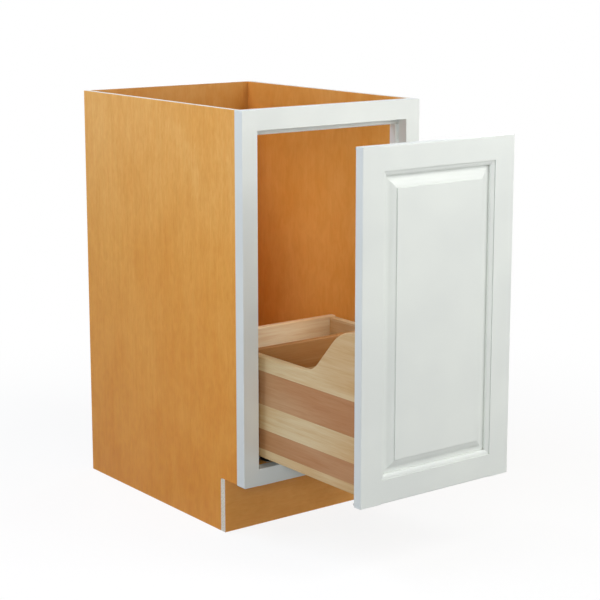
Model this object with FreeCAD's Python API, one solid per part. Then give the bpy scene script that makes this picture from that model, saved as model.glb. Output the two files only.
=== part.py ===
import FreeCAD, Part
import math
import os

os.makedirs("parts", exist_ok=True)

V = FreeCAD.Vector

# Carcass sizes, in mm
cab_w = 457.2
cab_h = 876.3
side_t = 12.7
side_inset = 0.8
back_t = 6.35
rebate_w = 6.5
floor_t = 12.7
housing = 6.0
rear_rail_t = 19.0
rear_rail_h = 89.0

# Toe space
toe_h = 114.3
toe_d = 70.0
toe_t = 15.0
toe_gap = 0.3
notch_r = 6.0

# Face frame and the strips behind it that stop the door
frame_t = 25.4
stile_w = 36.5
top_rail_h = 40.5
bottom_rail_h = 35.5
frame_drop = 3.0
frame_ease = 1.5
foot_ease = 4.0
strip_t = 18.0
strip_show = 8.0
strip_show_top = 12.0
strip_top_h = 34.0
strip_ease = 2.0

# Door, which closes inside the frame
door_gap_side = 1.6
door_gap_end = 3.2
door_t = 20.6
door_stile = 50.5
door_rail = 47.0
stick_w = 9.0
stick_step = 2.0
stick_flat = 1.0
stick_fall = 3.0
stick_bow = 0.07
groove_front = 9.8
groove_w = 6.4
tongue_gap = 0.2
bevel_w = 24.5
bevel_flat = 3.5
cove_w = 9.5
cove_rise = 3.6
cove_bow = 0.09
ledge_bow = 0.07
field_step = 2.2
field_drop = 0.8
door_ease = 2.5
bumper_r = 4.0
bumper_top_r = 2.6
bumper_t = 3.2
pulled_out = 303.0

# Box
box_len = 533.0
box_gap = 17.1
box_t = 16.0
box_front_h = 313.5
box_low_h = 211.5
back_rise = 2.6
divider_drop = 3.0
divider_t = 12.7
divider_dado = 4.0
rear_bay = 126.0
box_floor_t = 9.5
box_recess = 12.7
box_groove = 6.0
scoop_flat = 3.8
scoop_run = 93.0
scoop_r_top = 89.0
scoop_r_low = 65.0
box_ease = 2.2
front_tail_count = 5
rear_tail_count = 3
tail_share = 0.44
tail_slope = 0.14

# Slides
slide_w = 40.0
slide_t = 1.5
slide_bend = 0.5
slide_lip = 5.0
slide_from_side = 6.0
slide_h = 32.4
slide_setback = 3.0
nose_flat = 16.0
nose_slope = 14.0
nose_hole_r = 2.4
flange_gap = 1.3
lip_gap = 1.0
web_w = 18.0
web_bend = 1.0
middle_len = 450.0
middle_start = 61.0

# Rollers and their cages
roller_r = 2.2
roller_gap = 0.3
roller_room = 0.5
roller_count = 5
cage_len = 180.0
cage_pitch = 36.0
cage_t = 2.0
cage_edge = 2.5
cage_side_gap = 3.0
low_cage_start = 179.0
high_cage_start = 205.0

# Rear brackets and dampers
bracket_reach = 28.85
bracket_hold = 28.0
bracket_wall = 2.5
bracket_plate = 3.0
bracket_cheek = 4.0
bracket_h = 58.0
bracket_r = 5.0
gusset_len = 23.0
gusset_h = 34.0
damper_w = 9.0
damper_len = 150.0
damper_from_end = 60.0
damper_foot = 1.0
damper_r = 3.5
piston_r = 3.2
piston_len = 34.0

# Front clips and their levers
clip_len = 42.0
clip_lift = 0.4
clip_side_gap = 0.6
clip_corner_len = 12.0
clip_corner_w = 16.0
clip_corner_r = 8.0
clip_r = 3.0
tab_start = 4.0
tab_len = 24.0
tab_slope = 4.0
tab_h = 6.0
pin_from_middle = 8.0
pin_r = 2.4
pin_gap = 0.35
lever_t = 3.4
lever_gap = 0.2
lever_r = 6.0
lever_reach = 30.0
lever_taper = 1.0
pad_w = 6.0
pad_grow = 3.0
pad_r = 3.0
neck_r = 4.0

# Planes that follow from the sizes
rail_len = box_len - 2 * slide_setback
cab_d = frame_t + slide_setback + rail_len + bracket_reach + rear_rail_t + back_t
half_w = cab_w / 2
side_out = half_w - side_inset
side_in = side_out - side_t
y_front = -cab_d
y_frame = y_front + frame_t
y_notch = y_front + toe_d + toe_t
z_frame = toe_h - frame_drop
z_open = z_frame + bottom_rail_h
z_top = cab_h - top_rail_h
open_half = half_w - stile_w

door_half = open_half - door_gap_side
y_door = y_front - pulled_out
y_face = y_door - door_t
z_door = z_open + door_gap_end
z_door_top = z_top - door_gap_end

box_half = open_half - box_gap
box_in = box_half - box_t
y_box = y_door
y_box_in = y_box + box_t
y_rear = y_box + box_len
y_rear_in = y_rear - box_t
z_under = z_open + slide_h
z_box = z_under - box_recess
z_inside = z_under + box_floor_t
z_low = z_box + box_low_h
z_high = z_box + box_front_h
z_back = z_low + back_rise
y_divider = y_rear_in - rear_bay - divider_t

slide_x = box_in - slide_from_side - slide_w / 2
closing = pulled_out + frame_t - bumper_t
y_rail = y_frame + slide_setback
y_rail_end = y_rail + rail_len
y_rear_rail = y_rail_end + bracket_reach

# Heights in the slides, above the floor that they stand on
mid_low = slide_t + 2 * roller_r + 2 * roller_gap
mid_high = slide_h - mid_low
channel_h = mid_low + slide_t + lip_gap + slide_t
low_cage = slide_t + roller_gap + roller_r
high_cage = slide_h - low_cage
flange_half = slide_w / 2 - slide_t - flange_gap
cage_half = flange_half - cage_side_gap
y_low_cage = y_rail + low_cage_start - closing / 4
y_high_cage = y_rail + high_cage_start - closing * 3 / 4


def block(x0, x1, y0, y1, z0, z1):
    return Part.makeBox(x1 - x0, y1 - y0, z1 - z0, V(x0, y0, z0))


# Closed outline through corners (a, b) or (a, b, radius), laid in space by place(a, b)
def outline(corners, place):
    n = len(corners)
    ends = []
    for i, corner in enumerate(corners):
        p = V(corner[0], corner[1], 0)
        r = corner[2] if len(corner) > 2 else 0
        if not r:
            ends.append((p, None, p))
            continue
        before = corners[i - 1]
        after = corners[(i + 1) % n]
        u = (V(before[0], before[1], 0) - p).normalize()
        w = (V(after[0], after[1], 0) - p).normalize()
        half = math.acos(max(-1, min(1, u.dot(w)))) / 2
        reach = r / math.tan(half)
        middle = p + (u + w).normalize() * (r / math.sin(half) - r)
        ends.append((p + u * reach, middle, p + w * reach))
    edges = []
    for i, (start, middle, end) in enumerate(ends):
        if middle:
            edges.append(Part.Arc(place(start), place(middle), place(end)).toShape())
        following = ends[(i + 1) % n][0]
        if (following - end).Length > 1e-6:
            edges.append(Part.makeLine(place(end), place(following)))
    return Part.Wire(edges)


def along_x(corners, x0, x1):
    face = Part.Face(outline(corners, lambda p: V(x0, p.x, p.y)))
    return face.extrude(V(x1 - x0, 0, 0))


def along_y(corners, y0, y1, holes=()):
    wires = [outline(c, lambda p: V(p.x, y0, p.y)) for c in [corners, *holes]]
    return Part.Face(wires).extrude(V(0, y1 - y0, 0))


def along_z(corners, z0, z1):
    face = Part.Face(outline(corners, lambda p: V(p.x, p.y, z0)))
    return face.extrude(V(0, 0, z1 - z0))


def mirrored(shape):
    return shape.mirror(V(0, 0, 0), V(1, 0, 0))


def upside_down(shape):
    return shape.mirror(V(0, 0, (z_door + z_door_top) / 2), V(0, 0, 1))


# Rounds the edges whose both ends pass the test
def eased(shape, radius, test):
    edges = [e for e in shape.Edges if all(test(v.Point) for v in e.Vertexes)]
    return shape.makeFillet(radius, edges)


def near(a, b):
    return abs(a - b) < 1e-4


def save(name, shape):
    shape.exportStep("parts/" + name + ".step")


def save_pair(name, left):
    save("left_" + name, left)
    save("right_" + name, mirrored(left))


# Carcass
def side_panel():
    panel = along_x(
        [
            (y_frame, cab_h),
            (0, cab_h),
            (0, 0),
            (y_notch, 0),
            (y_notch, toe_h, notch_r),
            (y_frame, toe_h),
        ],
        -side_out,
        -side_in,
    )
    rebate = block(-side_in - rebate_w, -side_in, -back_t, 0, 0, cab_h)
    groove = block(-side_in - housing, -side_in, y_frame, -back_t, z_open - floor_t, z_open)
    return panel.cut(rebate).cut(groove)


def bottom_panel():
    x = side_in + housing
    return block(-x, x, y_frame, -back_t, z_open - floor_t, z_open)


def back_panel():
    x = side_in + rebate_w
    return block(-x, x, -back_t, 0, 0, cab_h)


def rear_rail():
    return block(-side_in, side_in, y_rear_rail, -back_t, z_open, z_open + rear_rail_h)


# Fills the notch up to its top, with the rear edge rounded to clear the corner of the notch
def toe_board():
    y = y_notch - toe_t
    top = toe_h - toe_gap
    corners = [(y, 0), (y_notch, 0), (y_notch, top, notch_r + toe_gap), (y, top)]
    return along_x(corners, -side_out, side_out)


# Face frame
def frame_stile():
    stile = block(-half_w, -open_half, y_front, y_frame, z_frame, cab_h)
    stile = eased(stile, foot_ease, lambda p: near(p.x, -half_w) and near(p.z, z_frame))
    return eased(stile, frame_ease, lambda p: near(p.x, -half_w) and near(p.y, y_front))


def frame_rail(z0, z1):
    return block(-open_half, open_half, y_front, y_frame, z0, z1)


def side_strip():
    x = -open_half + strip_show
    y = y_frame + strip_t
    corners = [(-side_in, y_frame), (x, y_frame, strip_ease), (x, y), (-side_in, y)]
    return along_z(corners, z_open, z_top - strip_show_top)


def top_strip():
    z = z_top - strip_show_top
    y = y_frame + strip_t
    corners = [(y_frame, z, strip_ease), (y, z), (y, z + strip_top_h), (y_frame, z + strip_top_h)]
    return along_x(corners, -side_in, side_in)


# Arc between two points of a door section that stands proud of its chord by a share of its length
def bowed(place, start, end, share):
    s = (start[0] + end[0]) / 2 + (end[1] - start[1]) * share
    d = (start[1] + end[1]) / 2 - (end[0] - start[0]) * share
    return Part.Arc(place(*start), place(s, d), place(*end)).toShape()


# Moulded inner edge of a door member: s runs in from its flat edge, d back from the face
def stick_face(place):
    low = stick_step + stick_fall
    ring = [
        Part.makeLine(place(0, stick_step), place(stick_flat, stick_step)),
        bowed(place, (stick_flat, stick_step), (stick_w, low), stick_bow),
        Part.makeLine(place(stick_w, low), place(stick_w, groove_front)),
        Part.makeLine(place(stick_w, groove_front), place(0, groove_front)),
        Part.makeLine(place(0, groove_front), place(0, stick_step)),
    ]
    return Part.Face(Part.Wire(ring))


def lip_face(place):
    d0 = groove_front + groove_w
    points = [place(0, d0), place(stick_w, d0), place(stick_w, door_t), place(0, door_t)]
    return Part.Face(Part.makePolygon(points + points[:1]))


# Wedge that a mitre takes off the moulding at a corner of the door
def mitre(for_rail, right, top):
    edge = -door_half + door_stile
    z0 = z_door + door_rail
    inner = V(edge + stick_w, y_face, z0 + stick_w)
    spare = V(edge, y_face, z0 + stick_w) if for_rail else V(edge + stick_w, y_face, z0)
    ring = [V(edge, y_face, z0), spare, inner, V(edge, y_face, z0)]
    wedge = Part.Face(Part.makePolygon(ring)).extrude(V(0, door_t, 0))
    if right:
        wedge = mirrored(wedge)
    if top:
        wedge = upside_down(wedge)
    return wedge


def door_stile_left():
    edge = -door_half + door_stile
    z0 = z_door + door_rail
    length = z_door_top - door_rail - z0
    flat = along_z(
        [
            (-door_half, y_face, door_ease),
            (edge, y_face),
            (edge, y_door),
            (-door_half, y_door, door_ease / 2),
        ],
        z_door,
        z_door_top,
    )

    def place(s, d):
        return V(edge + s, y_face + d, z0)

    for face in (stick_face(place), lip_face(place)):
        strip = face.extrude(V(0, 0, length))
        flat = flat.fuse(strip.cut([mitre(False, False, False), mitre(False, False, True)]))
    return flat.removeSplitter()


def door_rail_bottom():
    edge = -door_half + door_stile
    z0 = z_door + door_rail
    flat = along_x(
        [
            (y_face, z_door, door_ease),
            (y_door, z_door, door_ease / 2),
            (y_door, z0),
            (y_face, z0),
        ],
        edge,
        -edge,
    )

    def place(s, d):
        return V(edge, y_face + d, z0 + s)

    for face in (stick_face(place), lip_face(place)):
        strip = face.extrude(V(-2 * edge, 0, 0))
        flat = flat.fuse(strip.cut([mitre(True, False, False), mitre(True, True, False)]))
    return flat.removeSplitter()


# Section of the raised panel from edge to edge, as wide as the space inside the grooves:
# tongue, cove, swelling ledge and a sharp step up to the field
def panel_section(low, high, place):
    d_back = groove_front + groove_w - tongue_gap
    d_edge = groove_front + tongue_gap
    d_cove = d_edge - cove_rise
    d_step = field_drop + field_step
    flat = stick_w + bevel_flat
    bevel = stick_w + bevel_w
    turn = flat + cove_w

    def half(end, sign):
        def at(s, d):
            return place(end + sign * s, d)

        return [
            Part.makeLine(at(0, d_back), at(0, d_edge)),
            Part.makeLine(at(0, d_edge), at(flat, d_edge)),
            bowed(at, (flat, d_edge), (turn, d_cove), -cove_bow),
            bowed(at, (turn, d_cove), (bevel, d_step), ledge_bow),
            Part.makeLine(at(bevel, d_step), at(bevel, field_drop)),
        ]

    bevel_low = place(low + bevel, field_drop)
    bevel_high = place(high - bevel, field_drop)
    ring = half(low, 1) + [Part.makeLine(bevel_low, bevel_high)] + half(high, -1)
    ring.append(Part.makeLine(place(high, d_back), place(low, d_back)))
    return Part.Face(Part.Wire(Part.__sortEdges__(ring)))


def door_panel():
    x = door_half - door_stile - tongue_gap
    z0 = z_door + door_rail + tongue_gap
    z1 = z_door_top - door_rail - tongue_gap
    across = panel_section(-x, x, lambda a, d: V(a, y_face + d, z0))
    up = panel_section(z0, z1, lambda a, d: V(-x, y_face + d, a))
    return across.extrude(V(0, 0, z1 - z0)).common(up.extrude(V(2 * x, 0, 0)))


def bumpers():
    pads = []
    for x in (-door_half + bumper_r, door_half - bumper_r):
        for z in (z_door + bumper_r, z_door_top - bumper_r):
            pads.append(Part.makeCone(bumper_r, bumper_top_r, bumper_t, V(x, y_door, z), V(0, 1, 0)))
    return Part.makeCompound(pads)


# Tails of a corner joint, from z0 up to z1: narrow at y0, wide at y1
def tails(z0, z1, count, y0, y1):
    pitch = (z1 - z0) / count
    flare = abs(y1 - y0) * tail_slope
    shapes = []
    for i in range(count):
        low = z0 + pitch * (i + 0.5 - tail_share / 2)
        high = low + pitch * tail_share
        shapes.append([(y0, low), (y1, low - flare), (y1, high + flare), (y0, high)])
    return shapes


def front_tails():
    return tails(z_inside, z_high, front_tail_count, y_box_in, y_box)


def rear_tails():
    return tails(z_inside, z_low, rear_tail_count, y_rear_in, y_rear)


def box_side():
    corners = [(y_box_in, z_box), (y_rear, z_box), (y_rear, z_inside), (y_rear_in, z_inside)]
    for tail in rear_tails():
        corners += tail
    lean = math.atan2(z_high - z_low, scoop_run)
    y_drop = y_box_in + scoop_flat + scoop_r_top * math.tan(lean / 2)
    corners += [
        (y_rear_in, z_low),
        (y_drop + scoop_run, z_low, scoop_r_low),
        (y_drop, z_high, scoop_r_top),
        (y_box_in, z_high),
    ]
    for tail in reversed(front_tails()):
        corners += tail[::-1]
    side = along_x(corners, -box_half, -box_in)
    side = round_top(side)
    groove = block(-box_in - box_groove, -box_in, y_box_in, y_rear, z_under, z_inside)
    dado = block(
        -box_in - divider_dado,
        -box_in,
        y_divider,
        y_divider + divider_t,
        z_inside,
        z_low - divider_drop,
    )
    return side.cut(groove).cut(dado)


# Rounds the long edges of the top of a box side, down the S-curve too
def round_top(side):
    edges = []
    for e in side.Edges:
        ends = [v.Point for v in e.Vertexes]
        level = all(p.z > z_low - 0.1 for p in ends)
        on_face = near(ends[0].x, ends[-1].x)
        inside = all(y_box_in - 0.1 < p.y < y_rear_in + 0.1 for p in ends)
        upright = near(ends[0].y, ends[-1].y)
        if level and on_face and inside and not upright:
            edges.append(e)
    return side.makeFillet(box_ease, edges)


def joint_cutters(shapes):
    cutters = []
    for tail in shapes:
        left = along_x(tail, -box_half, -box_in)
        cutters += [left, mirrored(left)]
    return cutters


def box_front():
    board = block(-box_half, box_half, y_box, y_box_in, z_box, z_high)
    board = board.cut(joint_cutters(front_tails()))
    x = box_in + box_groove
    return board.cut(block(-x, x, y_box_in - box_groove, y_box_in, z_under, z_inside))


def box_back():
    corners = [
        (y_rear_in, z_inside),
        (y_rear, z_inside),
        (y_rear, z_back, box_ease),
        (y_rear_in, z_back, box_ease),
    ]
    board = along_x(corners, -box_half, box_half)
    return board.cut(joint_cutters(rear_tails()))


def box_divider():
    x = box_in + divider_dado
    z = z_low - divider_drop
    corners = [
        (y_divider, z_inside),
        (y_divider + divider_t, z_inside),
        (y_divider + divider_t, z, box_ease),
        (y_divider, z, box_ease),
    ]
    inner = along_x(corners, -box_in, box_in)
    ends = block(-x, x, y_divider, y_divider + divider_t, z_inside, z - box_ease)
    return inner.fuse(ends).removeSplitter()


def box_bottom():
    x = box_in + box_groove
    return block(-x, x, y_box_in - box_groove, y_rear, z_under, z_inside)


# Slides, drawn for the left side: u runs across from the slide's middle, v up from the floor
def slide_point(u, v):
    return (-slide_x + u, z_open + v)


def slide_bar(corners, y0, y1, holes=()):
    def moved(ring):
        return [slide_point(c[0], c[1]) + tuple(c[2:]) for c in ring]

    return along_y(moved(corners), y0, y1, [moved(h) for h in holes])


# Open channel with turned-in lips, standing on v = base or hanging from it
def channel(base, up):
    w = slide_w / 2
    t = slide_t
    lip = w - slide_lip
    ring = [
        (-w, 0, t + slide_bend),
        (w, 0, t + slide_bend),
        (w, channel_h, t),
        (lip, channel_h),
        (lip, channel_h - t),
        (w - t, channel_h - t, slide_bend),
        (w - t, t, slide_bend),
        (t - w, t, slide_bend),
        (t - w, channel_h - t, slide_bend),
        (-lip, channel_h - t),
        (-lip, channel_h),
        (-w, channel_h, t),
    ]
    if up:
        return [(c[0], base + c[1], *c[2:]) for c in ring]
    return [(c[0], base - c[1], *c[2:]) for c in ring[::-1]]


# The front end is cut down to a flat nose that is screwed to the floor
def cabinet_rail():
    bar = slide_bar(channel(0, True), y_rail, y_rail_end)
    z0 = z_open + slide_t
    z1 = z_open + channel_h
    flat = y_rail + nose_flat
    cut = along_x(
        [(y_rail, z0), (flat, z0), (flat + nose_slope, z1), (y_rail, z1)],
        -slide_x - slide_w / 2,
        -slide_x + slide_w / 2,
    )
    hole = Part.makeCylinder(nose_hole_r, slide_t, V(-slide_x, y_rail + nose_flat / 2, z_open))
    return bar.cut(cut).cut(hole)


def middle_rail():
    t = slide_t
    f = flange_half
    w = web_w / 2
    ring = [
        (-f, mid_low),
        (f, mid_low),
        (f, mid_low + t),
        (w, mid_low + t),
        (w, mid_high - t),
        (f, mid_high - t),
        (f, mid_high),
        (-f, mid_high),
        (-f, mid_high - t),
        (-w, mid_high - t),
        (-w, mid_low + t),
        (-f, mid_low + t),
    ]
    core = [
        (t - w, mid_low + t, web_bend),
        (w - t, mid_low + t, web_bend),
        (w - t, mid_high - t, web_bend),
        (t - w, mid_high - t, web_bend),
    ]
    y0 = y_rail + middle_start - closing / 2
    return slide_bar(ring, y0, y0 + middle_len, [core])


def box_rail():
    y0 = y_box_in + clip_len + lip_gap
    return slide_bar(channel(slide_h, False), y0, y_rear - slide_setback)


def roller_places(y0):
    first = y0 + (cage_len - cage_pitch * (roller_count - 1)) / 2
    return [first + cage_pitch * i for i in range(roller_count)]


# Cage strip with a window for each roller
def roller_cage(v, y0):
    low = v - cage_t / 2
    high = v + cage_t / 2
    w = cage_half
    cage = slide_bar([(-w, low), (w, low), (w, high), (-w, high)], y0, y0 + cage_len)
    window = w - cage_edge
    reach = roller_r + roller_room
    x, z0 = slide_point(0, low)
    z1 = z0 + cage_t
    windows = [
        block(x - window, x + window, y - reach, y + reach, z0, z1) for y in roller_places(y0)
    ]
    return cage.cut(windows)


def roller_set(v, y0):
    w = cage_half - cage_edge - roller_room
    x, z = slide_point(-w, v)
    bars = [
        Part.makeCylinder(roller_r, 2 * w, V(x, y, z), V(1, 0, 0)) for y in roller_places(y0)
    ]
    return Part.makeCompound(bars)


# Socket round the rear end of the cabinet rail: two cheeks, a plate and a gusset on each cheek
def rear_bracket():
    inner = slide_w / 2 + roller_gap
    outer = inner + bracket_wall
    y0 = y_rail_end - bracket_hold
    y1 = y_rear_rail - bracket_plate
    top = channel_h + bracket_cheek
    plan = [
        (-slide_x - outer, y0),
        (-slide_x - inner, y0),
        (-slide_x - inner, y1),
        (-slide_x + inner, y1),
        (-slide_x + inner, y0),
        (-slide_x + outer, y0),
        (-slide_x + outer, y_rear_rail),
        (-slide_x - outer, y_rear_rail),
    ]
    cheeks = along_z(plan, z_open, z_open + top)
    corners = [(-outer, 0), (outer, 0), (outer, bracket_h, bracket_r), (-outer, bracket_h, bracket_r)]
    plate = slide_bar(corners, y1, y_rear_rail)
    z = z_open + top
    triangle = [(y1 - gusset_len, z), (y1, z), (y1, z + gusset_h)]
    gusset = along_x(triangle, -slide_x - outer, -slide_x - inner)
    other = gusset.mirror(V(-slide_x, 0, 0), V(1, 0, 0))
    return cheeks.fuse([plate, gusset, other]).removeSplitter()


def damper():
    w = slide_w / 2
    low = damper_foot
    high = channel_h - damper_foot / 2
    y1 = y_rail_end - damper_from_end
    y0 = y1 - damper_len
    ring = [(w, low), (w + damper_w, low, damper_r), (w + damper_w, high, damper_r), (w, high)]
    body = slide_bar(ring, y0, y1)
    x, z = slide_point(w + damper_w / 2, (low + high) / 2)
    piston = Part.makeCylinder(piston_r, piston_len, V(x, y0 - piston_len, z), V(0, 1, 0))
    return body.fuse(piston).removeSplitter()


# Clips under the box, behind its front
clip_low = slide_h - box_recess + clip_lift
clip_out = slide_w / 2 + slide_from_side - clip_side_gap
pin_x = -slide_x + pin_from_middle
pin_y = y_box_in + clip_len / 2


def front_clip():
    y0 = y_box_in
    y1 = y_box_in + clip_len
    z = z_open + clip_low
    x0 = -slide_x - clip_out
    x1 = -slide_x + slide_w / 2
    plan = [
        (x0, y0),
        (x1, y0),
        (x1, y1 - clip_corner_len, clip_corner_r),
        (x1 - clip_corner_w, y1, clip_corner_r),
        (x0, y1, clip_r),
    ]
    body = along_z(plan, z, z_under)
    t0 = y0 + tab_start
    t1 = t0 + tab_len
    tab = along_x(
        [
            (t0, z),
            (t0 + tab_slope, z - tab_h, clip_r),
            (t1 - tab_slope, z - tab_h, clip_r),
            (t1, z),
        ],
        x0,
        -slide_x - slide_w / 2 - lip_gap,
    )
    pin_len = lever_t + lever_gap
    pin = Part.makeCylinder(pin_r, pin_len, V(pin_x, pin_y, z - pin_len))
    return body.fuse([tab, pin]).removeSplitter()


# Lever that turns on the clip's pin, with a finger pad at its inner end
def clip_lever():
    z1 = z_open + clip_low - lever_gap
    z0 = z1 - lever_t
    arm = lever_r - lever_taper
    pad = lever_r + pad_grow
    x0 = pin_x + lever_reach
    x1 = x0 + pad_w
    half = [
        (pin_x, -lever_r),
        (x0 - pad_w, -arm, neck_r),
        (x0, -pad, pad_r),
        (x1, -pad, pad_r),
    ]
    corners = half + [(c[0], -c[1], *c[2:]) for c in half[::-1]]
    body = along_z([(c[0], pin_y + c[1], *c[2:]) for c in corners], z0, z1)
    boss = Part.makeCylinder(lever_r, lever_t, V(pin_x, pin_y, z0))
    hole = Part.makeCylinder(pin_r + pin_gap, lever_t, V(pin_x, pin_y, z0))
    return body.fuse(boss).cut(hole).removeSplitter()


save_pair("side_panel", side_panel())
save("bottom_panel", bottom_panel())
save("back_panel", back_panel())
save("slide_mounting_rail", rear_rail())
save("toe_kick_board", toe_board())
save_pair("frame_stile", frame_stile())
save("frame_top_rail", frame_rail(z_top, cab_h))
save("frame_bottom_rail", frame_rail(z_frame, z_open))
save_pair("stop_strip", side_strip())
save("top_stop_strip", top_strip())

save_pair("door_stile", door_stile_left())
save("door_bottom_rail", door_rail_bottom())
save("door_top_rail", upside_down(door_rail_bottom()))
save("door_raised_panel", door_panel())
save("door_bumpers", bumpers())

save_pair("box_side", box_side())
save("box_front", box_front())
save("box_back", box_back())
save("box_divider", box_divider())
save("box_bottom", box_bottom())

save_pair("cabinet_rail", cabinet_rail())
save_pair("middle_rail", middle_rail())
save_pair("box_rail", box_rail())
save_pair("lower_roller_cage", roller_cage(low_cage, y_low_cage))
save_pair("lower_rollers", roller_set(low_cage, y_low_cage))
save_pair("upper_roller_cage", roller_cage(high_cage, y_high_cage))
save_pair("upper_rollers", roller_set(high_cage, y_high_cage))
save_pair("rear_bracket", rear_bracket())
save_pair("damper", damper())
save_pair("front_clip", front_clip())
save_pair("clip_lever", clip_lever())
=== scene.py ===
import math

import bmesh
import bpy
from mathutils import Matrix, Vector


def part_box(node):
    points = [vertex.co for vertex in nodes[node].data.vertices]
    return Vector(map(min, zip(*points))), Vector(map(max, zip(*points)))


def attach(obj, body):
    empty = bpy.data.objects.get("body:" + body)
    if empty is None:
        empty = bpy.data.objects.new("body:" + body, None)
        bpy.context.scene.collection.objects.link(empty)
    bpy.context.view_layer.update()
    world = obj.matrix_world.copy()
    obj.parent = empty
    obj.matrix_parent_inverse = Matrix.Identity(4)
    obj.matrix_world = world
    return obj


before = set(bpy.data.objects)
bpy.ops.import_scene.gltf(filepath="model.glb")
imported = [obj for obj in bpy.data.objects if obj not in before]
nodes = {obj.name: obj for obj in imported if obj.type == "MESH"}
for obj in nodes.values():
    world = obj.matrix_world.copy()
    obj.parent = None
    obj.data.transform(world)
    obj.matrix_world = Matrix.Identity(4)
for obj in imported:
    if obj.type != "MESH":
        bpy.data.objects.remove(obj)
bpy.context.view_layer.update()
scene = bpy.context.scene
scene.view_settings.view_transform = "Standard"
noiseLow, noiseHigh = 0.3, 0.7  # nearly all of a noise's values lie between these
print("cabinet loaded:", len(nodes), "pieces")


def linear(hexColour):  # "#RRGGBB" as written on a swatch, to linear light
    parts = [int(hexColour[i : i + 2], 16) / 255 for i in (1, 3, 5)]
    return [p / 12.92 if p <= 0.04045 else ((p + 0.055) / 1.055) ** 2.4 for p in parts] + [1.0]


def add(tree, kind, feed=None, ramp=None, **settings):  # one node: settings, then links and values
    made = tree.nodes.new(kind)
    for key, value in settings.items():
        setattr(made, key, value)
    for key, value in (feed or {}).items():
        if isinstance(value, bpy.types.NodeSocket):
            tree.links.new(value, made.inputs[key])
        else:
            made.inputs[key].default_value = value
    if ramp:
        stops = made.color_ramp.elements
        while len(stops) < len(ramp):
            stops.new(1.0)
        for stop, (place, colour) in zip(stops, ramp):
            stop.position = place
            stop.color = linear(colour)
    return made


def startMaterial(name):
    mat = bpy.data.materials.new(name)
    mat.use_nodes = True
    tree = mat.node_tree
    tree.nodes.clear()
    shader = add(tree, "ShaderNodeBsdfPrincipled")
    add(tree, "ShaderNodeOutputMaterial", {"Surface": shader.outputs[0]})
    return mat, tree, shader


def dress(mat, *names):
    for name in names:
        for holder in nodes[name].material_slots:
            holder.material = mat


def pair(name):
    return "left_" + name, "right_" + name


def stretch(grain, acrossMm, runMm):  # pattern scale for a grain that runs along one axis
    scale = [1000 / acrossMm] * 3
    scale["xyz".index(grain)] = 1000 / runMm
    return scale


# Maple veneer board, amber stain under satin lacquer: fine short flecks over a soft mottle and broad clouds,
# and a cream core of pressed chips where the board is cut
mapleLook = {
    # tones at the foot, waist and head, then how strong the flecks are; outside, the lighter and yellower
    # head is a painted sheen; inside, the lighter foot and darker head are painted bounce light
    "outside": ("#F8AD46", "#FBB856", "#FFC46E", 1.0),
    "inside": ("#FFC46C", "#FFBF65", "#EEAF5C", 0.45),
    "toe": ("#FFBC6A", "#FFBC6A", "#FFBC6A", 0.6),
    "back": ("#DCA65C", "#DCA65C", "#D49F58", 0.45),
    "raw": ("#B08556", "#B48A5A", "#B48A5A", 1.0),  # rear of the back, unstained fibre
    "core": [(0.35, "#E6D9C0"), (0.50, "#F4EBDA"), (0.66, "#F9F3E6")],
    "fleck": [(0.36, "#F8E7CC"), (0.50, "#FCF4E6"), (0.64, "#FFFFFF")],
    "mottle": [(0.36, "#FAF6EC"), (0.64, "#FFFFFF")],
    "cloud": [(0.36, "#FAF2DE"), (0.64, "#FFFFFF")],
    "boardMm": 876.0,
    "toneAt": (0.15, 0.62, 0.90),  # foot, waist and head as shares of the board's height
    "sideMm": 221.5,  # from the middle of the cabinet to the middle of a side panel
    "backMm": 3.0,  # from the wall to the middle of the back
    "fleckMm": (3.0, 17.0),  # width and run; real flecks are finer, this coarse they still show
    "streakMm": (7.0, 130.0),
    "mottleMm": (20.0, 40.0),
    "cloudMm": (130.0, 240.0),
    "warp": {"fleckMm": 0.3, "streakMm": 0.5, "mottleMm": 0.8, "cloudMm": 0.8},
    "streakShare": 0.4,
    "chipMm": 2.2,
    "cutBelow": 0.7,  # a surface that faces the veneer's way less than this is a cut edge
    "roughness": (0.34, 0.46),
    "bump": 0.12,
    "bumpMm": 0.3,
    "ior": 1.48,
    "specular": 0.3,
}


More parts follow.
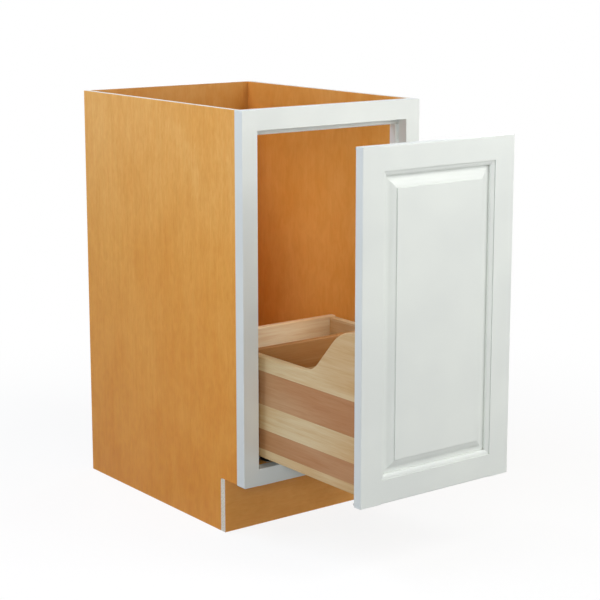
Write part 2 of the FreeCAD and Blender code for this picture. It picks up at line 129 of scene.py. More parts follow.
def mapleBoard(name, grain, face, skin, lining, skinMm=0.0):
    look = mapleLook
    mat, tree, shader = startMaterial(name)
    where = add(tree, "ShaderNodeTexCoord")
    layers = []
    for size, warp in look["warp"].items():
        spot = add(tree, "ShaderNodeMapping", {
            "Vector": where.outputs["Object"],
            "Scale": stretch(grain, *look[size]),
        })
        layers.append(add(tree, "ShaderNodeTexNoise", {
            "Vector": spot.outputs[0],
            "Scale": 1.0,
            "Detail": 2.0,
            "Distortion": warp,
        }).outputs[0])
    fleck, streak, mottle, cloud = layers

    place = add(tree, "ShaderNodeSeparateXYZ", {0: where.outputs["Object"]})
    # painted light: the tone changes with height, a sheen at the head outside, bounce light at the foot
    # inside
    height = add(tree, "ShaderNodeMapRange", {0: place.outputs[2], 1: 0.0, 2: look["boardMm"] / 1000})
    tones, strengths = [], []
    for side in (skin, lining):
        *shades, strength = look[side]
        tones.append(add(tree, "ShaderNodeValToRGB", {"Fac": height.outputs[0]},
                         ramp=list(zip(look["toneAt"], shades))).outputs[0])
        strengths.append(strength)
    out = add(tree, "ShaderNodeMath", {0: place.outputs["xyz".index(face)]}, operation="ABSOLUTE")
    isInside = add(tree, "ShaderNodeMath", {0: out.outputs[0], 1: skinMm / 1000}, operation="LESS_THAN")
    tone = add(tree, "ShaderNodeMix", {0: isInside.outputs[0], 6: tones[0], 7: tones[1]}, data_type="RGBA")
    figure = add(tree, "ShaderNodeMix", {0: look["streakShare"], 2: fleck, 3: streak})
    grainTone = add(tree, "ShaderNodeValToRGB", {"Fac": figure.outputs[0]}, ramp=look["fleck"])
    depth = add(tree, "ShaderNodeMapRange", {0: isInside.outputs[0], 3: strengths[0], 4: strengths[1]})
    veneer = add(tree, "ShaderNodeMix", {0: depth.outputs[0], 6: tone.outputs[2], 7: grainTone.outputs[0]},
                 data_type="RGBA", blend_type="MULTIPLY")
    for layer, tint in ((mottle, "mottle"), (cloud, "cloud")):
        patch = add(tree, "ShaderNodeValToRGB", {"Fac": layer}, ramp=look[tint])
        veneer = add(tree, "ShaderNodeMix", {0: 1.0, 6: veneer.outputs[2], 7: patch.outputs[0]},
                     data_type="RGBA", blend_type="MULTIPLY")

    chip = add(tree, "ShaderNodeTexNoise", {  # chips in the pressed core
        "Vector": where.outputs["Object"],
        "Scale": 1000 / look["chipMm"],
        "Detail": 2.0,
    })
    core = add(tree, "ShaderNodeValToRGB", {"Fac": chip.outputs[0]}, ramp=look["core"])
    facing = add(tree, "ShaderNodeSeparateXYZ", {0: where.outputs["Normal"]})
    flat = add(tree, "ShaderNodeMath", {0: facing.outputs["xyz".index(face)]}, operation="ABSOLUTE")
    cut = add(tree, "ShaderNodeMath", {0: flat.outputs[0], 1: look["cutBelow"]}, operation="LESS_THAN")
    colour = add(tree, "ShaderNodeMix", {
        0: cut.outputs[0],
        6: veneer.outputs[2],
        7: core.outputs[0],
    }, data_type="RGBA")
    tree.links.new(colour.outputs[2], shader.inputs["Base Color"])

    low, high = look["roughness"]
    rough = add(tree, "ShaderNodeMapRange", {0: fleck, 1: noiseLow, 2: noiseHigh, 3: low, 4: high})
    tree.links.new(rough.outputs[0], shader.inputs["Roughness"])
    bump = add(tree, "ShaderNodeBump", {
        "Strength": look["bump"],
        "Distance": look["bumpMm"] / 1000,
        "Height": fleck,
    })
    tree.links.new(bump.outputs[0], shader.inputs["Normal"])
    shader.inputs["IOR"].default_value = look["ior"]
    shader.inputs["Specular IOR Level"].default_value = look["specular"]
    return mat


dress(mapleBoard("maple_veneer_board_upright", "z", "x", "outside", "inside", mapleLook["sideMm"]),
      *pair("side_panel"))
dress(mapleBoard("maple_veneer_board_toe", "x", "y", "toe", "toe"), "toe_kick_board")
dress(mapleBoard("maple_veneer_board_floor", "y", "z", "inside", "inside"), "bottom_panel")
dress(mapleBoard("maple_veneer_board_back", "z", "y", "back", "raw", mapleLook["backMm"]), "back_panel")


# Sprayed satin enamel on hardwood: near white, a trace of orange peel, roughness that clouds slightly,
# painted shade that darkens the colour in the grooves and corners
paintLook = {
    "cloud": [(0.35, "#E8ECE9"), (0.62, "#EDF1ED")],
    "cloudMm": 160.0,
    "peelMm": (2.2, 13.2),  # width and run; real peel is finer, this coarse it still shows
    "arrisMm": 0.5,  # sanded edge that catches the light
    "arrisSamples": 6,
    "grooveMm": 7.0,  # how far from a corner the painted shade reaches
    "grooveSamples": 8,
    "door": [(0.24, "#BFBCB3"), (0.56, "#FFFFFF")],  # painted shade, deeper in the mouldings than on the plain frame
    "frame": [(0.20, "#E8E6E0"), (0.50, "#FFFFFF")],
    "roughness": (0.30, 0.42),
    "bump": 0.08,
    "bumpMm": 0.2,
    "ior": 1.50,
}


def whitePaint(name, grain, groove):
    look = paintLook
    mat, tree, shader = startMaterial(name)
    where = add(tree, "ShaderNodeTexCoord")
    cloud = add(tree, "ShaderNodeTexNoise", {
        "Vector": where.outputs["Object"],
        "Scale": 1000 / look["cloudMm"],
        "Detail": 2.0,
    })
    tone = add(tree, "ShaderNodeValToRGB", {"Fac": cloud.outputs[0]}, ramp=look["cloud"])
    # painted shade: ambient occlusion darkens the base colour in grooves and corners
    creaseOcclusion = add(tree, "ShaderNodeAmbientOcclusion", {"Distance": look["grooveMm"] / 1000},
               samples=look["grooveSamples"])
    paintedShade = add(tree, "ShaderNodeValToRGB", {"Fac": creaseOcclusion.outputs["AO"]}, ramp=look[groove])
    tone = add(tree, "ShaderNodeMix", {0: 1.0, 6: tone.outputs[0], 7: paintedShade.outputs[0]},
               data_type="RGBA", blend_type="MULTIPLY")
    tree.links.new(tone.outputs[2], shader.inputs["Base Color"])
    low, high = look["roughness"]
    rough = add(tree, "ShaderNodeMapRange", {0: cloud.outputs[0], 1: noiseLow, 2: noiseHigh, 3: low, 4: high})
    tree.links.new(rough.outputs[0], shader.inputs["Roughness"])
    peelSpot = add(tree, "ShaderNodeMapping", {
        "Vector": where.outputs["Object"],
        "Scale": stretch(grain, *look["peelMm"]),
    })
    peel = add(tree, "ShaderNodeTexNoise", {"Vector": peelSpot.outputs[0], "Scale": 1.0, "Detail": 1.0})
    arris = add(tree, "ShaderNodeBevel", {"Radius": look["arrisMm"] / 1000}, samples=look["arrisSamples"])
    bump = add(tree, "ShaderNodeBump", {
        "Strength": look["bump"],
        "Distance": look["bumpMm"] / 1000,
        "Height": peel.outputs[0],
        "Normal": arris.outputs[0],
    })
    tree.links.new(bump.outputs[0], shader.inputs["Normal"])
    shader.inputs["IOR"].default_value = look["ior"]
    return mat


dress(whitePaint("satin_enamel_frame_upright", "z", "frame"), *pair("frame_stile"), *pair("stop_strip"))
dress(whitePaint("satin_enamel_frame_level", "x", "frame"),
      "frame_top_rail", "frame_bottom_rail", "top_stop_strip")
dress(whitePaint("satin_enamel_door_upright", "z", "door"), *pair("door_stile"), "door_raised_panel")
dress(whitePaint("satin_enamel_door_level", "x", "door"), "door_top_rail", "door_bottom_rail")


# Solid boards glued edge to edge, sanded and clear coated: pale and brown strips with a long grain,
# and darker end grain
boxLook = {
    "cream": "#FFF3D6",
    "pale": "#EEDCB2",
    "straw": "#E6CDA0",
    "brown": "#D0A57B",
    "amber": "#C09159",
    "tan": "#DCB488",
    "endGrain": [(0.35, "#8F5F34"), (0.6, "#C08A55")],
    "endFrom": 0.8,  # a surface that faces along the grain more than this is end grain
    "ringsPerM": (420.0, 420.0, 700.0),
    "flame": [(0.34, "#ECD8C2"), (0.48, "#F7EEE3"), (0.64, "#FFFFFF")],
    "cloud": [(0.36, "#F3E4D2"), (0.64, "#FFFFFF")],
    "drift": [(0.1, "#FFFFFF"), (0.9, "#F3E7DB")],  # painted shade: boards darken a little towards the door
    "driftMm": (-600.0, -912.0),
    "layers": {  # width and run in mm, detail, warp
        "streak": (5.0, 240.0, 2.0, 0.0),
        "pore": (1.3, 28.8, 1.0, 0.0),
        "flame": (22.0, 336.0, 3.0, 1.6),
        "cloud": (70.0, 240.0, 1.0, 0.6),
    },
    "shares": {"pore": 0.24, "flame": 0.48, "streak": 0.28},
    "ownFirst": 37,  # grey of the first strip and the step to the next, so that each has its own grain
    "ownStep": 67,
    "ownSpread": 40.0,
    "arrisMm": 1.6,
    "arrisSamples": 6,
    "roughness": (0.56, 0.42),  # lower where the pores are filled
    "bump": 0.15,
    "bumpMm": 0.3,
    "ior": 1.48,
}


def boxBoard(name, grain, strips, top):
    # strips: (lower edge in mm above the floor, tone), from the bottom up to top
    look = boxLook
    mat, tree, shader = startMaterial(name)
    where = add(tree, "ShaderNodeTexCoord")
    place = add(tree, "ShaderNodeSeparateXYZ", {0: where.outputs["Object"]})
    bottom = strips[0][0]
    height = add(tree, "ShaderNodeMapRange", {0: place.outputs[2], 1: bottom / 1000, 2: top / 1000})
    stops = [((mm - bottom) / (top - bottom), look[tone]) for mm, tone in strips]
    board = add(tree, "ShaderNodeValToRGB", {"Fac": height.outputs[0]}, ramp=stops)
    board.color_ramp.interpolation = "CONSTANT"
    greys = [(look["ownFirst"] + look["ownStep"] * i) % 256 for i in range(len(stops))]
    shades = [(at, "#" + "%02X" % grey * 3) for (at, _), grey in zip(stops, greys)]
    which = add(tree, "ShaderNodeValToRGB", {"Fac": height.outputs[0]}, ramp=shades)
    which.color_ramp.interpolation = "CONSTANT"
    own = add(tree, "ShaderNodeMath", {0: which.outputs[0], 1: look["ownSpread"]}, operation="MULTIPLY")

    layers = {}
    for layer, (acrossMm, runMm, detail, warp) in look["layers"].items():
        spot = add(tree, "ShaderNodeMapping", {
            "Vector": where.outputs["Object"],
            "Scale": stretch(grain, acrossMm, runMm),
        })
        layers[layer] = add(tree, "ShaderNodeTexNoise", {
            "Vector": spot.outputs[0],
            "W": own.outputs[0],
            "Scale": 1.0,
            "Detail": detail,
            "Distortion": warp,
        }, noise_dimensions="4D").outputs[0]
    figure = 0.0
    for layer, share in look["shares"].items():
        figure = add(tree, "ShaderNodeMath", {0: layers[layer], 1: share, 2: figure},
                     operation="MULTIPLY_ADD").outputs[0]
    grainTone = add(tree, "ShaderNodeValToRGB", {"Fac": figure}, ramp=look["flame"])
    cloudTone = add(tree, "ShaderNodeValToRGB", {"Fac": layers["cloud"]}, ramp=look["cloud"])
    wood = add(tree, "ShaderNodeMix", {0: 1.0, 6: board.outputs[0], 7: grainTone.outputs[0]},
               data_type="RGBA", blend_type="MULTIPLY")
    # painted shade, darker towards the door
    rear, fore = look["driftMm"]
    along = add(tree, "ShaderNodeMapRange", {0: place.outputs[1], 1: rear / 1000, 2: fore / 1000})
    paintedDoorShade = add(tree, "ShaderNodeValToRGB", {"Fac": along.outputs[0]}, ramp=look["drift"])
    for tint in (cloudTone, paintedDoorShade):
        wood = add(tree, "ShaderNodeMix", {0: 1.0, 6: wood.outputs[2], 7: tint.outputs[0]},
                   data_type="RGBA", blend_type="MULTIPLY")

    ringSpot = add(tree, "ShaderNodeMapping", {"Vector": where.outputs["Object"], "Scale": look["ringsPerM"]})
    ring = add(tree, "ShaderNodeTexNoise", {"Vector": ringSpot.outputs[0], "Scale": 1.0, "Detail": 1.0})
    endTone = add(tree, "ShaderNodeValToRGB", {"Fac": ring.outputs[0]}, ramp=look["endGrain"])
    facing = add(tree, "ShaderNodeSeparateXYZ", {0: where.outputs["Normal"]})
    endOn = add(tree, "ShaderNodeMath", {0: facing.outputs["xyz".index(grain)]}, operation="ABSOLUTE")
    isEnd = add(tree, "ShaderNodeMath", {0: endOn.outputs[0], 1: look["endFrom"]}, operation="GREATER_THAN")
    colour = add(tree, "ShaderNodeMix", {0: isEnd.outputs[0], 6: wood.outputs[2], 7: endTone.outputs[0]},
                 data_type="RGBA")
    tree.links.new(colour.outputs[2], shader.inputs["Base Color"])

    dry, filled = look["roughness"]
    rough = add(tree, "ShaderNodeMapRange", {
        0: layers["pore"],
        1: noiseLow,
        2: noiseHigh,
        3: dry,
        4: filled,
    })
    tree.links.new(rough.outputs[0], shader.inputs["Roughness"])
    arris = add(tree, "ShaderNodeBevel", {"Radius": look["arrisMm"] / 1000}, samples=look["arrisSamples"])
    bump = add(tree, "ShaderNodeBump", {
        "Strength": look["bump"],
        "Distance": look["bumpMm"] / 1000,
        "Height": layers["pore"],
        "Normal": arris.outputs[0],
    })
    tree.links.new(bump.outputs[0], shader.inputs["Normal"])
    shader.inputs["IOR"].default_value = look["ior"]
    return mat


leftStrips = [(166.5, "pale"), (184.0, "brown"), (226.5, "pale"), (277.0, "brown"), (347.5, "pale")]
rightStrips = [(166.5, "tan"), (205.0, "straw"), (262.0, "brown"), (318.0, "straw"), (372.0, "pale")]
frontStrips = [(166.5, "straw"), (221.0, "pale"), (290.0, "tan"), (351.0, "straw"), (418.0, "pale")]
backStrips = [(188.7, "tan"), (248.0, "straw"), (311.0, "cream")]
dividerStrips = [(188.7, "brown"), (254.0, "straw"), (316.0, "amber")]
boxTopMm, backTopMm, dividerTopMm = 480.0, 380.6, 375.0
dress(boxBoard("edge_glued_hardwood_left", "y", leftStrips, boxTopMm), "left_box_side")
dress(boxBoard("edge_glued_hardwood_right", "y", rightStrips, boxTopMm), "right_box_side")
dress(boxBoard("edge_glued_hardwood_front", "x", frontStrips, boxTopMm), "box_front")
dress(boxBoard("edge_glued_hardwood_back", "x", backStrips, backTopMm), "box_back")
dress(boxBoard("edge_glued_hardwood_divider", "x", dividerStrips, dividerTopMm), "box_divider")


# Rotary-cut birch plywood for the box floor and a sawn poplar rail: broad pale figure, fine dark pores
plainWoodLook = {
    "birch": [(0.34, "#C9A878"), (0.5, "#DABE90"), (0.66, "#E6CFA6")],
    "poplar": [(0.34, "#B39A6C"), (0.5, "#CDB688"), (0.66, "#DCC9A0")],
    "layers": {"pore": (1.6, 30.0, 0.0), "figure": (34.0, 300.0, 2.0)},  # width and run in mm, warp
    "shares": {"pore": 0.35, "figure": 0.65},
    "roughness": (0.66, 0.50),
    "bump": 0.18,
    "bumpMm": 0.3,
}


def plainWood(name, grain, tones):
    look = plainWoodLook
    mat, tree, shader = startMaterial(name)
    where = add(tree, "ShaderNodeTexCoord")
    layers = {}
    for layer, (acrossMm, runMm, warp) in look["layers"].items():
        spot = add(tree, "ShaderNodeMapping", {
            "Vector": where.outputs["Object"],
            "Scale": stretch(grain, acrossMm, runMm),
        })
        layers[layer] = add(tree, "ShaderNodeTexNoise", {
            "Vector": spot.outputs[0],
            "Scale": 1.0,
            "Detail": 3.0,
            "Distortion": warp,
        }).outputs[0]
    figure = 0.0
    for layer, share in look["shares"].items():
        figure = add(tree, "ShaderNodeMath", {0: layers[layer], 1: share, 2: figure},
                     operation="MULTIPLY_ADD").outputs[0]
    tone = add(tree, "ShaderNodeValToRGB", {"Fac": figure}, ramp=look[tones])
    tree.links.new(tone.outputs[0], shader.inputs["Base Color"])
    dry, worn = look["roughness"]
    rough = add(tree, "ShaderNodeMapRange", {0: layers["pore"], 1: noiseLow, 2: noiseHigh, 3: dry, 4: worn})
    tree.links.new(rough.outputs[0], shader.inputs["Roughness"])
    bump = add(tree, "ShaderNodeBump", {
        "Strength": look["bump"],
        "Distance": look["bumpMm"] / 1000,
        "Height": layers["pore"],
    })
    tree.links.new(bump.outputs[0], shader.inputs["Normal"])
    return mat


dress(plainWood("birch_plywood_sanded", "x", "birch"), "box_bottom")
dress(plainWood("poplar_rail_sawn", "x", "poplar"), "slide_mounting_rail")


# Zinc-plated rolled steel: blue-grey, drawn lines along the rail; the rollers are ground bright and the
# screws are passivated yellow-grey
steelLook = {
    "zinc": ("#A9AFB4", "#C6CBCE", 0.34),  # dark, bright, roughness where it is bright
    "ground": ("#C9CCCE", "#E2E4E5", 0.18),
    "screw": ("#B8B6AE", "#D6D4CC", 0.28),
    "lineMm": (0.9, 70.0),
    "dull": 0.1,  # rougher by this in the dark lines
    "bump": 0.06,
    "bumpMm": 0.1,
}


def rolledSteel(name, grain, kind):
    look = steelLook
    dark, bright, roughness = look[kind]
    mat, tree, shader = startMaterial(name)
    where = add(tree, "ShaderNodeTexCoord")
    spot = add(tree, "ShaderNodeMapping", {
        "Vector": where.outputs["Object"],
        "Scale": stretch(grain, *look["lineMm"]),
    })
    drawn = add(tree, "ShaderNodeTexNoise", {"Vector": spot.outputs[0], "Scale": 1.0, "Detail": 2.0})
    tone = add(tree, "ShaderNodeValToRGB", {"Fac": drawn.outputs[0]}, ramp=[(0.35, dark), (0.65, bright)])
    tree.links.new(tone.outputs[0], shader.inputs["Base Color"])
    rough = add(tree, "ShaderNodeMapRange", {
        0: drawn.outputs[0],
        1: noiseLow,
        2: noiseHigh,
        3: roughness + look["dull"],
        4: roughness,
    })
    tree.links.new(rough.outputs[0], shader.inputs["Roughness"])
    bump = add(tree, "ShaderNodeBump", {
        "Strength": look["bump"],
        "Distance": look["bumpMm"] / 1000,
        "Height": drawn.outputs[0],
    })
    tree.links.new(bump.outputs[0], shader.inputs["Normal"])
    shader.inputs["Metallic"].default_value = 1.0
    return mat


dress(rolledSteel("zinc_plated_steel_rolled", "y", "zinc"),
      *pair("cabinet_rail"), *pair("middle_rail"), *pair("box_rail"))
dress(rolledSteel("bearing_steel_ground", "x", "ground"), *pair("lower_rollers"), *pair("upper_rollers"))
screwSteel = rolledSteel("screw_steel_passivated", "z", "screw")


# Injection-moulded nylon and acetal: even colour with a spark-eroded grain that breaks up the gloss
plasticLook = {
    "natural": ("#D9D4C6", "#E4E0D4", 0.42),  # dark, light, roughness
    "grey": ("#6E7276", "#7C8084", 0.48),
    "graphite": ("#3A3C3F", "#474A4D", 0.44),
    "orange": ("#B4551F", "#C46229", 0.40),
    "grainMm": 0.8,
    "flowMm": 22.0,
    "spread": (-0.05, 0.07),  # what the flow adds to the roughness
    "bump": 0.15,
    "bumpMm": 0.2,
    "ior": 1.53,
}


def mouldedPlastic(name, kind):
    look = plasticLook
    dark, light, roughness = look[kind]
    mat, tree, shader = startMaterial(name)
    where = add(tree, "ShaderNodeTexCoord")
    flow = add(tree, "ShaderNodeTexNoise", {
        "Vector": where.outputs["Object"],
        "Scale": 1000 / look["flowMm"],
        "Detail": 2.0,
    })
    tone = add(tree, "ShaderNodeValToRGB", {"Fac": flow.outputs[0]}, ramp=[(0.35, dark), (0.65, light)])
    tree.links.new(tone.outputs[0], shader.inputs["Base Color"])
    less, more = look["spread"]
    rough = add(tree, "ShaderNodeMapRange", {
        0: flow.outputs[0],
        1: noiseLow,
        2: noiseHigh,
        3: roughness + less,
        4: roughness + more,
    })
    tree.links.new(rough.outputs[0], shader.inputs["Roughness"])
    grit = add(tree, "ShaderNodeTexNoise", {
        "Vector": where.outputs["Object"],
        "Scale": 1000 / look["grainMm"],
        "Detail": 1.0,
    })
    bump = add(tree, "ShaderNodeBump", {
        "Strength": look["bump"],
        "Distance": look["bumpMm"] / 1000,
        "Height": grit.outputs[0],
    })
    tree.links.new(bump.outputs[0], shader.inputs["Normal"])
    shader.inputs["IOR"].default_value = look["ior"]
    return mat


dress(mouldedPlastic("nylon_natural_moulded", "natural"),
      *pair("lower_roller_cage"), *pair("upper_roller_cage"))
dress(mouldedPlastic("nylon_grey_moulded", "grey"), *pair("rear_bracket"))
dress(mouldedPlastic("acetal_graphite_moulded", "graphite"), *pair("damper"), *pair("front_clip"))
dress(mouldedPlastic("acetal_orange_moulded", "orange"), *pair("clip_lever"))


# Soft clear polyurethane dot, cast: milky where it is thick, glossy skin
bumperLook = {
    "milk": [(0.35, "#D9DEDB"), (0.65, "#E9ECEA")],
    "cloudMm": 3.0,
    "roughness": (0.16, 0.28),
    "clear": 0.5,
    "ior": 1.49,
}
bumperMat, tree, shader = startMaterial("polyurethane_clear_cast")
where = add(tree, "ShaderNodeTexCoord")
milk = add(tree, "ShaderNodeTexNoise", {
    "Vector": where.outputs["Object"],
    "Scale": 1000 / bumperLook["cloudMm"],
})
tone = add(tree, "ShaderNodeValToRGB", {"Fac": milk.outputs[0]}, ramp=bumperLook["milk"])
tree.links.new(tone.outputs[0], shader.inputs["Base Color"])
low, high = bumperLook["roughness"]
rough = add(tree, "ShaderNodeMapRange", {0: milk.outputs[0], 1: noiseLow, 2: noiseHigh, 3: low, 4: high})
tree.links.new(rough.outputs[0], shader.inputs["Roughness"])
shader.inputs["Transmission Weight"].default_value = bumperLook["clear"]
shader.inputs["IOR"].default_value = bumperLook["ior"]
dress(bumperMat, "door_bumpers")
print("finishes on the carcass, door, box and slides")


# Pan-head screws, placed by Geometry Nodes; places are in metres
screwLook = {
    "headMm": 7.6,
    "domeMm": 2.3,
    "profile": [  # shares of the head's radius and of its dome, from the middle of the top round to the seat
        (0.0, 1.0), (0.35, 0.985), (0.66, 0.90), (0.88, 0.70),
        (0.98, 0.42), (1.0, 0.15), (0.99, 0.0), (0.0, 0.0),
    ],
    "steps": 28,
    "recessMm": 4.2,
    "bladeMm": 0.95,
    "deepMm": 1.5,
    "taper": (0.62, 0.8),  # the cross at its foot, against its top
    "over": 1.4,  # the cutter stands this far above the dome
    "doorAcross": 0.50,  # share of the box half-width
    "doorUp": (0.24, 0.80),  # share of the box front's height
    "noseIn": 0.008,
    "noseUp": 0.0015,
    "plateIn": 0.003,
    "plateUp": (0.030, 0.047),
    "clipOut": 0.0125,
    "clipAlong": (0.0065, 0.0345),
    "clipUp": 0.0002,
    "doorSize": 1.0,
    "slideSize": 0.82,
    "clipSize": 0.78,
    "seed": 7,
}


def panHead():
    look = screwLook
    radius, dome = look["headMm"] / 2000, look["domeMm"] / 1000
    head = bmesh.new()
    steps = look["steps"]
    turns = [2 * math.pi * i / steps for i in range(steps)]
    rings = []
    for out, up in look["profile"]:
        r, z = radius * out, dome * up
        if r == 0:
            rings.append([head.verts.new((0, 0, z))])
        else:
            rings.append([head.verts.new((r * math.cos(a), r * math.sin(a), z)) for a in turns])
    for upper, lower in zip(rings, rings[1:]):
        for i in range(steps):
            j = (i + 1) % steps
            loop = [upper[i % len(upper)], lower[i % len(lower)],
                    lower[j % len(lower)], upper[j % len(upper)]]
            head.faces.new(list(dict.fromkeys(loop)))
    bmesh.ops.recalc_face_normals(head, faces=head.faces)
    headMesh = bpy.data.meshes.new("panHead")
    head.to_mesh(headMesh)
    head.free()
    headObject = bpy.data.objects.new("panHead", headMesh)
    scene.collection.objects.link(headObject)

    cross = bmesh.new()  # tapered cross for the driver
    half, blade, deep = look["recessMm"] / 2000, look["bladeMm"] / 2000, look["deepMm"] / 1000
    plan = [
        (half, -blade), (half, blade), (blade, blade), (blade, half),
        (-blade, half), (-blade, blade), (-half, blade), (-half, -blade),
        (-blade, -blade), (-blade, -half), (blade, -half), (blade, -blade),
    ]
    taperX, taperY = look["taper"]
    upper = [cross.verts.new((x, y, dome * look["over"])) for x, y in plan]
    lower = [cross.verts.new((x * taperX, y * taperY, dome - deep)) for x, y in plan]
    cross.faces.new(upper)
    cross.faces.new(lower[::-1])
    for i in range(len(plan)):
        j = (i + 1) % len(plan)
        cross.faces.new([upper[i], lower[i], lower[j], upper[j]])
    bmesh.ops.recalc_face_normals(cross, faces=cross.faces)
    crossMesh = bpy.data.meshes.new("driverCross")
    cross.to_mesh(crossMesh)
    cross.free()
    crossObject = bpy.data.objects.new("driverCross", crossMesh)
    scene.collection.objects.link(crossObject)

    cutter = headObject.modifiers.new("driver", "BOOLEAN")
    cutter.operation = "DIFFERENCE"
    cutter.solver = "EXACT"
    cutter.object = crossObject
    done = bpy.data.meshes.new_from_object(headObject.evaluated_get(bpy.context.evaluated_depsgraph_get()))
    headObject.modifiers.clear()
    headObject.data = done
    bpy.data.objects.remove(crossObject)
    return headObject


def screwTree():
    tree = bpy.data.node_groups.new("screwsOnPoints", "GeometryNodeTree")
    face = tree.interface
    face.new_socket("Geometry", in_out="INPUT", socket_type="NodeSocketGeometry")
    face.new_socket("Head", in_out="INPUT", socket_type="NodeSocketObject")
    face.new_socket("Size", in_out="INPUT", socket_type="NodeSocketFloat")
    face.new_socket("Seed", in_out="INPUT", socket_type="NodeSocketInt")
    face.new_socket("Finish", in_out="INPUT", socket_type="NodeSocketMaterial")
    face.new_socket("Geometry", in_out="OUTPUT", socket_type="NodeSocketGeometry")
    given = add(tree, "NodeGroupInput")
    points = add(tree, "GeometryNodeMeshToPoints", {"Mesh": given.outputs["Geometry"]})
    outward = add(tree, "GeometryNodeInputNamedAttribute", {"Name": "outward"}, data_type="FLOAT_VECTOR")
    upright = add(tree, "FunctionNodeAlignRotationToVector", {"Vector": outward.outputs[0]}, axis="Z")
    turn = add(tree, "FunctionNodeRandomValue", {
        "Min": (0.0, 0.0, 0.0),
        "Max": (0.0, 0.0, math.pi),
        "Seed": given.outputs["Seed"],
    }, data_type="FLOAT_VECTOR")
    driven = add(tree, "FunctionNodeEulerToRotation", {0: turn.outputs[0]})
    both = add(tree, "FunctionNodeRotateRotation", {0: upright.outputs[0], 1: driven.outputs[0]},
               rotation_space="LOCAL")
    head = add(tree, "GeometryNodeObjectInfo", {"Object": given.outputs["Head"]})
    placed = add(tree, "GeometryNodeInstanceOnPoints", {
        "Points": points.outputs[0],
        "Instance": head.outputs["Geometry"],
        "Rotation": both.outputs[0],
        "Scale": given.outputs["Size"],
    })
    real = add(tree, "GeometryNodeRealizeInstances", {0: placed.outputs[0]})
    finished = add(tree, "GeometryNodeSetMaterial", {
        "Geometry": real.outputs[0],
        "Material": given.outputs["Finish"],
    })
    add(tree, "NodeGroupOutput", {0: finished.outputs[0]})
    return tree


def placeScrews(name, body, spots, size):
    # spots: (point, outward direction)
    mesh = bpy.data.meshes.new(name)
    mesh.from_pydata([tuple(p) for p, _ in spots], [], [])
    outward = mesh.attributes.new("outward", "FLOAT_VECTOR", "POINT")
    for item, (_, way) in zip(outward.data, spots):
        item.vector = way
    piece = bpy.data.objects.new(name, mesh)
    scene.collection.objects.link(piece)
    spread = piece.modifiers.new("screws", "NODES")
    spread.node_group = screws
    inputs = {s.name: s.identifier for s in screws.interface.items_tree if s.in_out == "INPUT"}
    spread[inputs["Head"]] = headShape
    spread[inputs["Size"]] = size
    spread[inputs["Seed"]] = screwLook["seed"]
    spread[inputs["Finish"]] = screwSteel
    real = bpy.data.meshes.new_from_object(piece.evaluated_get(bpy.context.evaluated_depsgraph_get()))
    piece.modifiers.clear()
    piece.data = real
    piece.data.name = name
    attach(piece, body)


headShape = panHead()
screws = screwTree()
frontLow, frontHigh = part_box("box_front")
doorSpots, fixedSpots, clipSpots = [], [], []
for side in (-1, 1):
    x = side * frontHigh.x * screwLook["doorAcross"]
    for up in screwLook["doorUp"]:
        doorSpots.append(((x, frontHigh.y, frontLow.z + up * (frontHigh.z - frontLow.z)), (0, 1, 0)))
for side in ("left", "right"):
    railLow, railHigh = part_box(side + "_cabinet_rail")
    middle = (railLow.x + railHigh.x) / 2
    nose = (middle, railLow.y + screwLook["noseIn"], railLow.z + screwLook["noseUp"])
    fixedSpots.append((nose, (0, 0, 1)))
    plateLow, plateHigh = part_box(side + "_rear_bracket")
    for up in screwLook["plateUp"]:
        fixedSpots.append(((middle, plateHigh.y - screwLook["plateIn"], plateLow.z + up), (0, -1, 0)))
    clipLow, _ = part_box(side + "_front_clip")
    _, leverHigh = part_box(side + "_clip_lever")
    x = middle + math.copysign(screwLook["clipOut"], middle)
    for along in screwLook["clipAlong"]:
        clipSpots.append(((x, clipLow.y + along, leverHigh.z + screwLook["clipUp"]), (0, 0, -1)))
placeScrews("door_fixing_screws", "pullout", doorSpots, screwLook["doorSize"])
placeScrews("slide_fixing_screws", "cabinet", fixedSpots, screwLook["slideSize"])
placeScrews("clip_fixing_screws", "pullout", clipSpots, screwLook["clipSize"])
bpy.data.objects.remove(headShape)
print("screws placed:", len(doorSpots) + len(fixedSpots) + len(clipSpots))


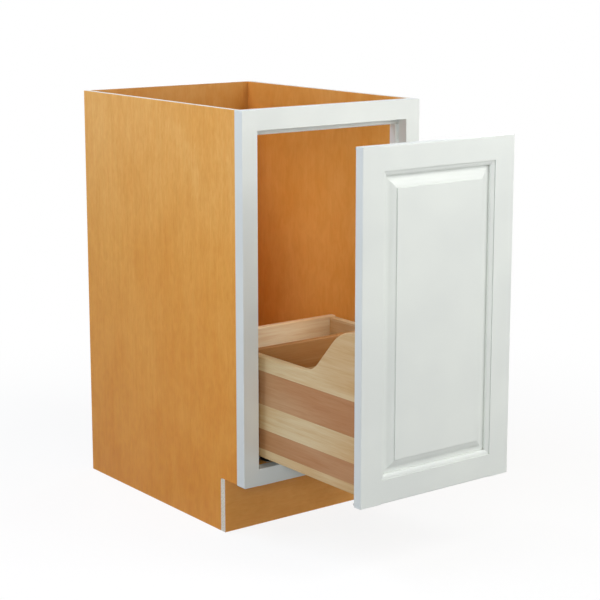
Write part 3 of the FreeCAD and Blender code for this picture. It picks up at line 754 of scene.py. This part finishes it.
# Studio: pale floor in a white surround, soft lamps in front, by the camera, at the sides, above and behind
studio = {
    "floorMm": 14000.0,
    "floorBounce": "#AAAAA8",  # what the floor throws back on the cabinet
    "floorShade": 0.16,  # share of the visible floor that takes the shadow, the rest is plain white
    "floorGlow": 0.86,
    "foot": (0.0, -0.45, 0.0),
    "fadeM": (0.75, 1.7),  # distances from the foot between which the floor fades to white
    "white": (1.0, 1.0, 1.0, 1.0),
    "aim": (0.0, -0.5, 0.45),
    "neutral": (1.0, 1.0, 0.98),
    "cool": (0.92, 1.0, 1.17),
    "lamps": {  # place, width and height, watts, tint
        "frontLamp": ((1.0, -2.7, 2.1), (1.0, 1.9), 17.0, "neutral"),
        "frontLowLamp": ((1.3, -2.9, 1.5), (1.0, 1.6), 10.4, "neutral"),
        "frontTopLamp": ((0.8, -2.3, 2.5), (1.1, 1.1), 13.0, "neutral"),
        "rightLowLamp": ((2.4, -2.6, 1.0), (1.0, 1.0), 10.5, "neutral"),
        "overheadLamp": ((-0.5, -2.0, 2.9), (1.0, 1.0), 7.0, "neutral"),
        "viewTopLamp": ((-1.2, -2.6, 2.4), (1.0, 1.0), 4.5, "neutral"),
        "viewSideLamp": ((-2.2, -3.0, 1.3), (1.1, 1.1), 24.0, "neutral"),
        "leftHighLamp": ((-1.6, -0.2, 2.2), (0.9, 0.9), 10.2, "cool"),
        "leftLowLamp": ((-2.6, -0.8, 0.8), (0.5, 1.0), 7.0, "cool"),
        "leftFrontLamp": ((-2.6, -1.6, 1.0), (0.6, 1.0), 3.0, "cool"),
        "leftTopLamp": ((-1.0, 0.6, 2.6), (0.8, 0.8), 15.5, "cool"),
        "leftBackLamp": ((-2.4, 2.4, 1.5), (1.1, 1.1), 5.5, "cool"),
        "backLamp": ((0.5, 3.2, 1.3), (1.3, 1.1), 26.0, "neutral"),
        "rightBackLamp": ((2.8, 1.2, 1.3), (1.1, 1.1), 22.0, "neutral"),
    },
}


def seenPlainly(tree):  # 1 for what the camera sees, straight or in metal and clear plastic
    ray = add(tree, "ShaderNodeLightPath")
    seen = ray.outputs["Is Camera Ray"]
    for kind in ("Is Glossy Ray", "Is Transmission Ray"):
        seen = add(tree, "ShaderNodeMath", {0: seen, 1: ray.outputs[kind]}, operation="MAXIMUM").outputs[0]
    return seen


half = studio["floorMm"] / 2000
floorMesh = bpy.data.meshes.new("floor")
corners = [(-half, -half, 0), (half, -half, 0), (half, half, 0), (-half, half, 0)]
floorMesh.from_pydata(corners, [], [(0, 1, 2, 3)])
floor = bpy.data.objects.new("floor", floorMesh)
scene.collection.objects.link(floor)
floorMat = bpy.data.materials.new("studio_floor_matt")
floorMat.use_nodes = True
tree = floorMat.node_tree
tree.nodes.clear()
bounce = add(tree, "ShaderNodeBsdfDiffuse", {"Color": linear(studio["floorBounce"])})
shaded = add(tree, "ShaderNodeBsdfDiffuse", {"Color": (*[studio["floorShade"]] * 3, 1.0)})
glow = add(tree, "ShaderNodeEmission", {"Color": studio["white"], "Strength": studio["floorGlow"]})
nearFloor = add(tree, "ShaderNodeAddShader", {0: shaded.outputs[0], 1: glow.outputs[0]})
where = add(tree, "ShaderNodeTexCoord")
fromFoot = add(tree, "ShaderNodeVectorMath", {0: where.outputs["Object"], 1: studio["foot"]},
               operation="DISTANCE")
near, far = studio["fadeM"]
fade = add(tree, "ShaderNodeMapRange", {0: fromFoot.outputs["Value"], 1: near, 2: far},
           interpolation_type="SMOOTHSTEP")
white = add(tree, "ShaderNodeEmission", {"Color": studio["white"], "Strength": 1.0})
whiteFloor = add(tree, "ShaderNodeMixShader", {
    0: fade.outputs[0],
    1: nearFloor.outputs[0],
    2: white.outputs[0],
})
mixed = add(tree, "ShaderNodeMixShader", {
    0: seenPlainly(tree),
    1: bounce.outputs[0],
    2: whiteFloor.outputs[0],
})
add(tree, "ShaderNodeOutputMaterial", {"Surface": mixed.outputs[0]})
floorMesh.materials.append(floorMat)

world = bpy.data.worlds.new("whiteStudio")
scene.world = world
world.use_nodes = True
tree = world.node_tree
tree.nodes.clear()
sky = add(tree, "ShaderNodeBackground", {"Color": studio["white"], "Strength": seenPlainly(tree)})
add(tree, "ShaderNodeOutputWorld", {"Surface": sky.outputs[0]})

for name, (spot, size, watts, tint) in studio["lamps"].items():
    lamp = bpy.data.lights.new(name, "AREA")
    lamp.shape = "RECTANGLE"
    lamp.size, lamp.size_y = size
    lamp.energy = watts
    lamp.color = studio[tint]
    holder = bpy.data.objects.new(name, lamp)
    holder.location = spot
    holder.rotation_euler = (Vector(studio["aim"]) - Vector(spot)).to_track_quat("-Z", "Y").to_euler()
    holder.visible_camera = False
    scene.collection.objects.link(holder)

cameraView = {
    "place": (-2.0624, -3.2097, 1.1774),
    "heading": -37.222,  # degrees from straight ahead
    "down": 10.721,
    "lens": 98.644,
    "sensor": 36.0,
    "shiftY": -0.06,
    "reach": 60.0,
}
camera = bpy.data.cameras.new("photoView")
camera.lens = cameraView["lens"]
camera.sensor_width = cameraView["sensor"]
camera.shift_y = cameraView["shiftY"]
camera.clip_end = cameraView["reach"]
cameraHolder = bpy.data.objects.new("photoView", camera)
cameraHolder.location = cameraView["place"]
cameraHolder.rotation_euler = (
    math.radians(90 - cameraView["down"]),
    0.0,
    math.radians(cameraView["heading"]),
)
scene.collection.objects.link(cameraHolder)
scene.camera = cameraHolder
print("studio and camera set")
